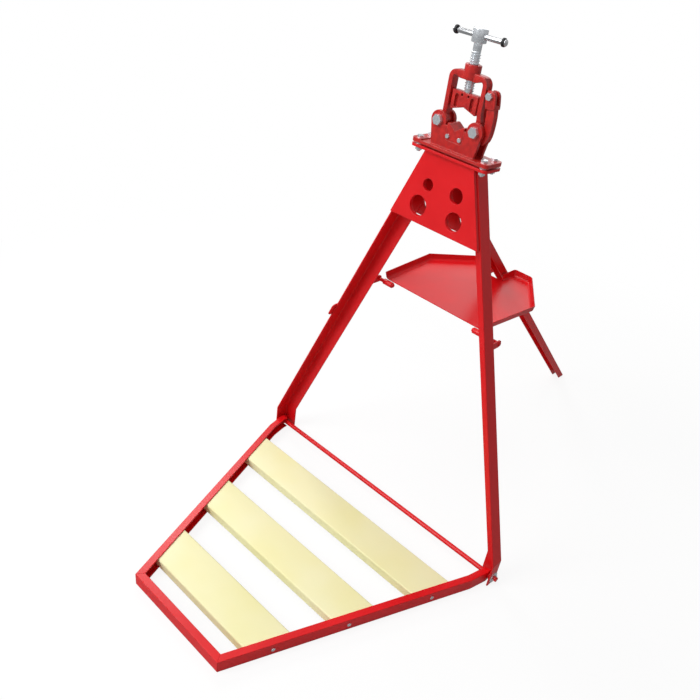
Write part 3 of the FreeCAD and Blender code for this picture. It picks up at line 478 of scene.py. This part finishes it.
yokeSettings = {
    "halfDepth": 10,
    "inner": 36.0,
    "outer": 45.6,
    "footZ": 978,
    "cornerInner": 6.4,
    "cornerOuter": 16.0,
    "cornerZ": 1058.0,
    "cornerSteps": 6,
    "crownThick": 14.0,
    "crownRises": [(-20, 0.6), (0, 1.5)],    # the crown swells towards the boss
    "latchSide": [(36, 1008, 45.6, 1008), (37.5, 998, 48.6, 996), (38, 985, 49, 985)],
    "rimMm": 4.6,
    "channelMm": 3.6,
    "edgeMm": 1.7,
    "bossRadius": 16.4,
    "bossSpan": (1061, 1089),
    "screwBore": 10.4,
    "eye": {"place": (-45.0, 0, 975.0), "radius": 13.4, "bore": 6.1},
    "lug": {"place": (57, 0, 1045), "radius": 8.9, "bore": 5.1, "half": 4.8},
    "neckStations": [(42, 1036.4, 42, 1053.6), (50, 1036.4, 50, 1053.6)],
    "neckHalf": 4.7,
}


def makeYoke(s):
    middleY = middleOf("clamp_screw", 1)
    frontY, rearY = middleY - s["halfDepth"], middleY + s["halfDepth"]
    corner = s["outer"] - s["cornerOuter"]
    stations = [(-s["inner"], z, -s["outer"], z) for z in (s["footZ"], s["cornerZ"])]
    for step in range(1, s["cornerSteps"] + 1):
        angle = math.radians(90 / s["cornerSteps"] * step)
        inward, upward = math.cos(angle), math.sin(angle)
        stations.append((-corner - s["cornerInner"] * inward, s["cornerZ"] + s["cornerInner"] * upward,
                         -corner - s["cornerOuter"] * inward, s["cornerZ"] + s["cornerOuter"] * upward))
    top = s["cornerZ"] + s["cornerOuter"]
    for x, rise in s["crownRises"]:
        stations.append((x, top - s["crownThick"], x, top + rise))
    rightSide = [(-ix, iz, -ox, oz) for ix, iz, ox, oz in reversed(stations[1:-1])]
    stations += rightSide + s["latchSide"]
    arch, spots = sweepRibbon("yokeArch", stations, frontY, rearY)
    grooveOuterSide(arch, spots, s["rimMm"], s["channelMm"])
    bevelSharp(s["edgeMm"], 3)
    cleanUp()
    boss = makeDrum("yokeBoss", 2, (0, middleY, 0), s["bossRadius"], *s["bossSpan"], s["screwBore"], 1.6)
    eye, lug = s["eye"], s["lug"]
    ring = makeDrum("yokeEye", 1, eye["place"], eye["radius"], frontY, rearY, eye["bore"], 1.2)
    ear = makeDrum("yokeLug", 1, lug["place"], lug["radius"], middleY - lug["half"], middleY + lug["half"],
                   lug["bore"], 0.8)
    neck = sweepRibbon("yokeNeck", s["neckStations"], middleY - s["neckHalf"], middleY + s["neckHalf"])[0]
    cleanUp()
    finishPiece([arch, boss, ring, ear, neck], "yoke-casting", ["yoke"], "casting_paint")


makeYoke(yokeSettings)
print("yoke made")


# ---- hook: a forked head and a curved limb, channelled down the outer side

hookSettings = {
    "limbHalf": 7.0,
    "limbStations": [
        (54.0, 1026, 71.8, 1026), (55.2, 1012, 74.0, 1010), (56.2, 998, 74.5, 994),
        (56.9, 987, 74.0, 981), (56.2, 979, 72.6, 971), (54.6, 972.5, 70.0, 963),
        (52.6, 969, 66.6, 957.5), (50.8, 966.8, 62.6, 953.5), (49.4, 964.4, 57.0, 955.4)],
    "headHalf": 10.6,
    "headStations": [
        (52.0, 1021, 73.0, 1023.5), (49.6, 1030, 72.4, 1031), (47.6, 1040, 70.6, 1041),
        (47.4, 1047, 69.0, 1048), (50.0, 1052.6, 65.8, 1053), (54.0, 1055.2, 61.0, 1055.3)],
    "slotHalf": 5.2,
    "slotX": 60,
    "slotZ": 1044,
    "slotLong": 60,
    "slotHigh": 27,
    "rimMm": 3.4,
    "channelMm": 2.4,
    "edgeMm": 1.3,
}


def makeHook(s):
    middleY = middleOf("clamp_screw", 1)
    limb, spots = sweepRibbon("hookLimb", s["limbStations"], middleY - s["limbHalf"], middleY + s["limbHalf"])
    grooveOuterSide(limb, spots, s["rimMm"], s["channelMm"])
    bevelSharp(s["edgeMm"], 3)
    cleanUp()
    head = sweepRibbon("hookHead", s["headStations"], middleY - s["headHalf"], middleY + s["headHalf"])[0]
    bevelSharp(s["edgeMm"], 3, 50)
    cleanUp()
    slot = startBlock("slotCutter", (s["slotX"] * unit, middleY * unit, s["slotZ"] * unit),
                      (s["slotLong"] * unit, 2 * s["slotHalf"] * unit, s["slotHigh"] * unit))
    applyModifier(head, "BOOLEAN", operation="DIFFERENCE", object=slot, solver="EXACT")
    bpy.data.objects.remove(slot)
    finishPiece([limb, head], "latch-hook-forging", ["latch_hook"], "casting_paint")


makeHook(hookSettings)
print("hook made")


# ---- clamp screw: cut thread, plain neck and a drum head with a shallow dip in its top

screwSettings = {
    "pitch": 5.0,
    "coreRadius": 8.0,
    "threadProfile": [(-0.4, 0.2), (2.0, 1.7), (2.0, 2.6), (-0.4, 4.1)],    # from the core radius, and up
    "threadLow": 1038.0,
    "threadHigh": 1113.0,
    "turnSteps": 40,
    "tipRadius": 6.0,
    "tipHigh": 1040,
    "neckRadius": 8.3,
    "neckHigh": 1128,
    "headRadius": 14.7,
    "headLow": 1127,
    "headRim": 3.5,
    "headDip": 0.5,
}


def makeScrew(s):
    low, high = boxOf("clamp_screw")
    middleY = middleOf("clamp_screw", 1)
    place = (0, middleY, 0)
    tip = makeDrum("screwTip", 2, place, s["tipRadius"], low[2], s["tipHigh"], 0, 0.6, 32)
    core = makeDrum("screwCore", 2, place, s["coreRadius"] + 0.2, s["threadLow"], s["threadHigh"] + 1,
                    0, 0.8, 48)
    neck = makeDrum("screwNeck", 2, place, s["neckRadius"], s["threadHigh"], s["neckHigh"], 0, 0.5, 48)
    head = makeDrum("screwHead", 2, place, s["headRadius"], s["headLow"], high[2], 0, 1.8, 56)
    pickFaces(head, lambda centre, normal: normal.z > 0.99)
    bpy.ops.mesh.inset(thickness=s["headRim"] * unit, depth=-s["headDip"] * unit)
    leaveEdit()
    turns = int((s["threadHigh"] - s["threadLow"]) / s["pitch"]) - 1
    points = [(s["coreRadius"] + out, 0, s["threadLow"] + 1 + up) for out, up in s["threadProfile"]]
    thread = outlineFace("screwThread", points)
    applyModifier(thread, "SCREW", screw_offset=s["pitch"] * unit, iterations=turns, steps=s["turnSteps"],
                  render_steps=s["turnSteps"], use_merge_vertices=False)
    bpy.ops.object.mode_set(mode="EDIT")
    bpy.ops.mesh.select_all(action="SELECT")
    bpy.ops.transform.translate(value=(0, middleY * unit, 0))
    cleanUp()
    finishPiece([head, neck, core, tip, thread], "clamp-screw-turned", ["clamp_screw"], "zinc", 30)


makeScrew(screwSettings)
print("screw made")


# ---- sliding bar with its rubber rings and end caps

barSettings = {
    "capRadius": 6.4,
    "capDomeMm": 1.6,
    "endEdgeMm": 0.4,
    "ringLong": 5.5,
    "ringGap": 0.1,
    "ringRoundMm": 1.8,
}


def makeBar(s):
    low, high = boxOf("tommy_bar")
    capHigh = boxOf("bar_caps")[1]
    ringLow, ringHigh = boxOf("bar_rings")
    ringRadius = (ringHigh[1] - ringLow[1]) / 2
    radius = (high[1] - low[1]) / 2
    place = (0, middleOf("tommy_bar", 1), middleOf("tommy_bar", 2))
    bar = makeDrum("barBody", 0, place, radius, low[0], high[0], 0, s["endEdgeMm"])
    caps, rings = [], []
    for side in (-1, 1):
        inner, outer = sorted((side * high[0], side * capHigh[0]))
        caps.append(makeDrum("barCap", 0, place, s["capRadius"], inner, outer, 0, s["capDomeMm"]))
        inner, outer = sorted((side * high[0], side * (high[0] - s["ringLong"])))
        rings.append(makeDrum("barRing", 0, place, ringRadius, inner, outer, radius + s["ringGap"],
                              s["ringRoundMm"]))
    finishPiece([bar], "tommy-bar-drawn", ["tommy_bar"], "bar_chrome")
    finishPiece(caps, "bar-caps-domed", ["bar_caps"], "bar_chrome")
    finishPiece(rings, "bar-rings-moulded", ["bar_rings"], "ring_rubber")


makeBar(barSettings)
print("bar made")


# ---- tray: one pressed sheet with raised lips, rounded bends, an open front and curled ears

traySettings = {
    "plan": [                # across, and how far behind the footboard's rod
        (-152, 78), (152, 78), (166, 266), (72, 403), (18, 403), (18, 345.5), (-18, 345.5), (-18, 403),
        (-72, 403), (-166, 266)],
    "wallMm": 18,
    "slopeMm": 3.5,
    "bendMm": 7.0,
    "sheetMm": 1.6,
    "notchHalf": 10,
    "notchSpan": (335, 346),    # the notch's end wall, left open for the rear leg
    "earRadius": 7.0,
    "earBore": 4.8,
    "earSpan": (124, 151),
    "earZ": 553,
}


def makeTray(s):
    high = boxOf("tray")[1]
    rodY = middleOf("pivot_rod", 1)
    widest = max(x for x, y in s["plan"])
    behind = min(y for x, y in s["plan"])
    front = rodY + behind
    tray = outlineFace("tray-pressing", [(x * high[0] / widest, rodY + y, high[2]) for x, y in s["plan"]])
    bpy.ops.mesh.select_mode(type="FACE")
    bpy.ops.mesh.select_all(action="SELECT")
    bpy.ops.mesh.inset(thickness=s["slopeMm"] * unit, depth=0)
    bpy.ops.transform.translate(value=(0, 0, -s["wallMm"] * unit))
    bpy.ops.mesh.normals_make_consistent(inside=False)

    def isOpenWall(centre, normal):
        if abs(normal.z) >= 0.9:
            return False
        notchLow, notchHigh = [rodY + y for y in s["notchSpan"]]
        onFront = centre.y < front + s["slopeMm"] + 0.2
        inNotch = abs(centre.x) < s["notchHalf"] and notchLow < centre.y < notchHigh
        return onFront or inNotch

    pickFaces(tray, isOpenWall)
    bpy.ops.mesh.delete(type="FACE")
    bevelSharp(s["bendMm"], 5, 40)
    applyModifier(tray, "SOLIDIFY", thickness=s["sheetMm"] * unit, offset=-1.0)
    bpy.ops.object.mode_set(mode="EDIT")
    cleanUp()
    ears = []
    for side in (-1, 1):
        inner, outer = sorted(side * x for x in s["earSpan"])
        ears.append(makeDrum("trayEar", 0, (0, front, s["earZ"]), s["earRadius"], inner, outer, s["earBore"],
                             0.7, 36))
    finishPiece([tray] + ears, "tray-pressing", ["tray"], "frame_paint", 40)


makeTray(traySettings)
print("tray made")


# ---- upper jaw: a sliding block with a toothed vee, two recesses, two pin holes and side guides

upperJawSettings = {
    "half": 31.0,
    "veeHalf": 27.0,
    "veeRise": 8.4,
    "teeth": 7,
    "toothMm": 0.9,
    "edgeMm": 1.2,
    "recessX": 18.8,
    "recessWide": 9.6,
    "recessTall": 26.0,
    "recessDrop": 18.8,      # from the jaw's top to the middle of a recess
    "recessDepth": 5.5,
    "recessRound": 4.7,
    "pinX": 7.9,
    "pinWide": 5.2,
    "pinDrop": 5.4,
    "guideRise": 9.0,        # the guides start this far above the jaw's lowest edge
    "guideDeep": 8,
    "guideEdgeMm": 0.8,
}


def cutAway(piece, place, size, roundMm):
    # a recess with round ends, cut with a block whose edges along the depth are rounded first
    cutter = startBlock("cutter", [c * unit for c in place], [c * unit for c in size])
    pickEdges(cutter, lambda first, second: abs(first.x - second.x) + abs(first.z - second.z) < 0.1 * unit)
    bpy.ops.mesh.bevel(offset=roundMm * unit, segments=6, affect="EDGES")
    applyModifier(piece, "BOOLEAN", operation="DIFFERENCE", object=cutter, solver="EXACT")
    bpy.data.objects.remove(cutter)


def veeTeeth(s, lowZ):
    # the toothed vee's corners, from just left of the right-hand edge to the left-hand one
    steps = 2 * s["teeth"]
    order = [(1, step) for step in range(1, steps + 1)] + [(-1, step) for step in range(steps - 1, 0, -1)]
    corners = []
    for side, step in order:
        share = step / steps
        lift = s["toothMm"] if step % 2 else 0
        corners.append((side * s["veeHalf"] * (1 - share), lowZ + s["veeRise"] * share + lift))
    return corners


def makeUpperJaw(s):
    low, high = boxOf("upper_jaw")
    frontY, rearY = low[1], high[1]
    half, veeHalf = s["half"], s["veeHalf"]
    points = [(half, high[2]), (half, low[2]), (veeHalf, low[2])] + veeTeeth(s, low[2])
    points += [(-veeHalf, low[2]), (-half, low[2]), (-half, high[2])]
    jaw = outlineFace("upperJawBlock", [(x, frontY, z) for x, z in points])
    bpy.ops.mesh.extrude_region_move(TRANSFORM_OT_translate={"value": (0, (rearY - frontY) * unit, 0)})
    cleanUp()
    applyModifier(jaw, "BEVEL", width=s["edgeMm"] * unit, segments=2, limit_method="ANGLE",
                  angle_limit=math.radians(60))
    pinWide = s["pinWide"]
    for side in (-1, 1):
        cutAway(jaw, (side * s["recessX"], frontY, high[2] - s["recessDrop"]),
                (s["recessWide"], 2 * s["recessDepth"], s["recessTall"]), s["recessRound"])
        cutAway(jaw, (side * s["pinX"], frontY, high[2] - s["pinDrop"]),
                (pinWide, 2 * pinWide, pinWide), pinWide * 0.48)
    guides = []
    guideLow = low[2] + s["guideRise"]
    for side in (-1, 1):
        place = (side * (half + high[0]) / 2, (frontY + rearY) / 2, (guideLow + high[2]) / 2)
        size = (high[0] - half, s["guideDeep"], high[2] - guideLow)
        guides.append(startBlock("jawGuide", [c * unit for c in place], [c * unit for c in size]))
        bevelSharp(s["guideEdgeMm"], 2, 50)
        cleanUp()
    finishPiece([jaw] + guides, "upper-jaw-casting", ["upper_jaw"], "casting_paint", 30)


makeUpperJaw(upperJawSettings)
print("upper jaw made")


# ---- slats: planed boards, cut at the ends to the taper of the frame, with the long edges eased

slatPieceSettings = {
    "edgeMm": 4.0,
    "steps": 5,
}


def slatEnds(node):
    # half-lengths of the board at its front and rear edges, read from the solid's own corners
    low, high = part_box(node)
    corners = [frame["nodes"][node].matrix_world @ vertex.co for vertex in frame["nodes"][node].data.vertices]
    front = max(abs(corner.x) for corner in corners if corner.y < low[1] + unit)
    rear = max(abs(corner.x) for corner in corners if corner.y > high[1] - unit)
    return front, rear


def makeSlat(node, s):
    low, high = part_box(node)
    front, rear = slatEnds(node)
    centre = [(a + b) / 2 for a, b in zip(low, high)]
    slat = startBlock(node + "-board", centre, (1, high[1] - low[1], high[2] - low[2]))
    for facing, half in ((-1, front), (1, rear)):
        pickFaces(slat, lambda place, normal: normal.y * facing > 0.9)
        bpy.ops.transform.resize(value=(2 * half, 1, 1), center_override=(0, centre[1], centre[2]))
    pickEdges(slat, lambda first, second: abs(first.x - second.x) > 0.1 and first.z > 0)
    bpy.ops.mesh.bevel(offset=s["edgeMm"] * unit, segments=s["steps"], affect="EDGES")
    cleanUp()
    finishPiece([slat], node + "-board", [node], "painted_slats", 30)


for node in ("slat_front", "slat_middle", "slat_rear"):
    makeSlat(node, slatPieceSettings)
print("slats made")


# ---- floor, lamps and camera

stageSettings = {
    "floorSize": 30.0,
    "nearGlow": 0.88,        # the part of the floor's white that no shadow reaches, close to the feet
    "floorTone": 0.12,
    "nearRadius": 0.9,
    "farRadius": 1.9,
    "skyForObject": 0.22,
    "skyForGloss": 0.50,
    "floorForGloss": 0.28,
}


def makeFloor(settings):
    bpy.ops.object.select_all(action="DESELECT")
    bpy.ops.mesh.primitive_plane_add(size=settings["floorSize"], location=(0, 0, -0.0006))
    floor = bpy.context.object
    floor.name = "studioFloor"
    material = startMaterial("white studio floor")
    where = addNode(material, "ShaderNodeTexCoord")
    away = addNode(material, "ShaderNodeVectorMath", {"operation": "LENGTH"}, {0: (where, "Object")})
    far = addNode(material, "ShaderNodeMapRange", {}, {
        "Value": (away, "Value"), "From Min": settings["nearRadius"], "From Max": settings["farRadius"]})
    paper = addNode(material, "ShaderNodeBsdfDiffuse", {}, {"Color": [settings["floorTone"]] * 3 + [1.0]})
    glow = addNode(material, "ShaderNodeEmission", {}, {
        "Color": (1, 1, 1, 1), "Strength": settings["nearGlow"]})
    near = addNode(material, "ShaderNodeAddShader", {}, {0: (paper, 0), 1: (glow, 0)})
    bright = addNode(material, "ShaderNodeEmission", {}, {"Color": (1, 1, 1, 1), "Strength": 1.0})
    seen = addNode(material, "ShaderNodeMixShader", {}, {0: (far, 0), 1: (near, 0), 2: (bright, 0)})
    plain = addNode(material, "ShaderNodeBsdfDiffuse", {}, {"Color": (0.8, 0.8, 0.8, 1.0)})
    ray = addNode(material, "ShaderNodeLightPath")
    dim = addNode(material, "ShaderNodeEmission", {}, {
        "Color": (1, 1, 1, 1), "Strength": settings["floorForGloss"]})
    mirrored = addNode(material, "ShaderNodeMixShader", {}, {
        0: (ray, "Is Glossy Ray"), 1: (plain, 0), 2: (dim, 0)})
    mixed = addNode(material, "ShaderNodeMixShader", {}, {
        0: (ray, "Is Camera Ray"), 1: (mirrored, 0), 2: (seen, 0)})
    finishMaterial(material, mixed)
    floor.data.materials.append(material)


def makeWorld(settings):
    world = bpy.data.worlds.new("studioSky")
    bpy.context.scene.world = world
    world.use_nodes = True
    world.node_tree.nodes.clear()
    ray = addNode(world, "ShaderNodeLightPath")
    mirrored = addNode(world, "ShaderNodeMapRange", {}, {
        "Value": (ray, "Is Glossy Ray"), "To Min": settings["skyForObject"], "To Max": settings["skyForGloss"]})
    strength = addNode(world, "ShaderNodeMapRange", {}, {
        "Value": (ray, "Is Camera Ray"), "To Min": (mirrored, "Result"), "To Max": 1.0})
    sky = addNode(world, "ShaderNodeBackground", {}, {"Color": (1, 1, 1, 1), "Strength": (strength, "Result")})
    addNode(world, "ShaderNodeOutputWorld", {}, {"Surface": (sky, 0)})


lampSettings = [
    {"name": "keyLamp", "place": (-1.6, -3.4, 3.0), "size": 2.2, "power": 116},
    {"name": "fillLamp", "place": (2.6, -1.8, 2.2), "size": 2.0, "power": 3},
    {"name": "sheenLamp", "place": (-2.5, 0.7, 2.5), "size": 1.1, "power": 36},
    {"name": "topLamp", "place": (-0.5, -0.9, 4.2), "size": 2.6, "power": 50},
    {"name": "rimLamp", "place": (-1.3, 2.9, 2.0), "size": 1.5, "power": 8},
]
aimPoint = Vector((0.0, 0.0, 0.55))


def makeLamp(settings):
    data = bpy.data.lights.new(settings["name"], "AREA")
    data.shape = "SQUARE"
    data.size = settings["size"]
    data.energy = settings["power"]
    lamp = bpy.data.objects.new(settings["name"], data)
    bpy.context.scene.collection.objects.link(lamp)
    place = Vector(settings["place"])
    lamp.location = place
    lamp.rotation_euler = (aimPoint - place).to_track_quat("-Z", "Y").to_euler()


cameraSettings = {
    "place": (0.8121, -1.3353, 1.3087),
    "azimuth": 35.56,
    "elevation": 32.91,
    "roll": 10.92,
    "focalPixels": 701.78,
    "centre": (396.70, 371.32),
    "imagePixels": 700,
}


def makeCamera(settings):
    azimuth = math.radians(settings["azimuth"])
    elevation = math.radians(settings["elevation"])
    roll = math.radians(settings["roll"])
    ahead = Vector((-math.sin(azimuth) * math.cos(elevation), math.cos(azimuth) * math.cos(elevation),
                    -math.sin(elevation)))
    level = ahead.cross(Vector((0, 0, 1))).normalized()
    above = level.cross(ahead)
    right = level * math.cos(roll) + above * math.sin(roll)
    up = above * math.cos(roll) - level * math.sin(roll)
    data = bpy.data.cameras.new("mainCamera")
    wide = settings["imagePixels"]
    data.sensor_width = 36
    data.sensor_fit = "HORIZONTAL"
    data.lens = 36 * settings["focalPixels"] / wide
    data.shift_x = (wide / 2 - settings["centre"][0]) / wide
    data.shift_y = (settings["centre"][1] - wide / 2) / wide
    data.clip_end = 60
    camera = bpy.data.objects.new("mainCamera", data)
    bpy.context.scene.collection.objects.link(camera)
    frameMatrix = Matrix((right, up, -ahead)).transposed().to_4x4()
    frameMatrix.translation = Vector(settings["place"])
    camera.matrix_world = frameMatrix
    bpy.context.scene.camera = camera


makeFloor(stageSettings)
makeWorld(stageSettings)
for lamp in lampSettings:
    makeLamp(lamp)
makeCamera(cameraSettings)
bpy.context.scene.view_settings.view_transform = "Standard"
print("stage set")
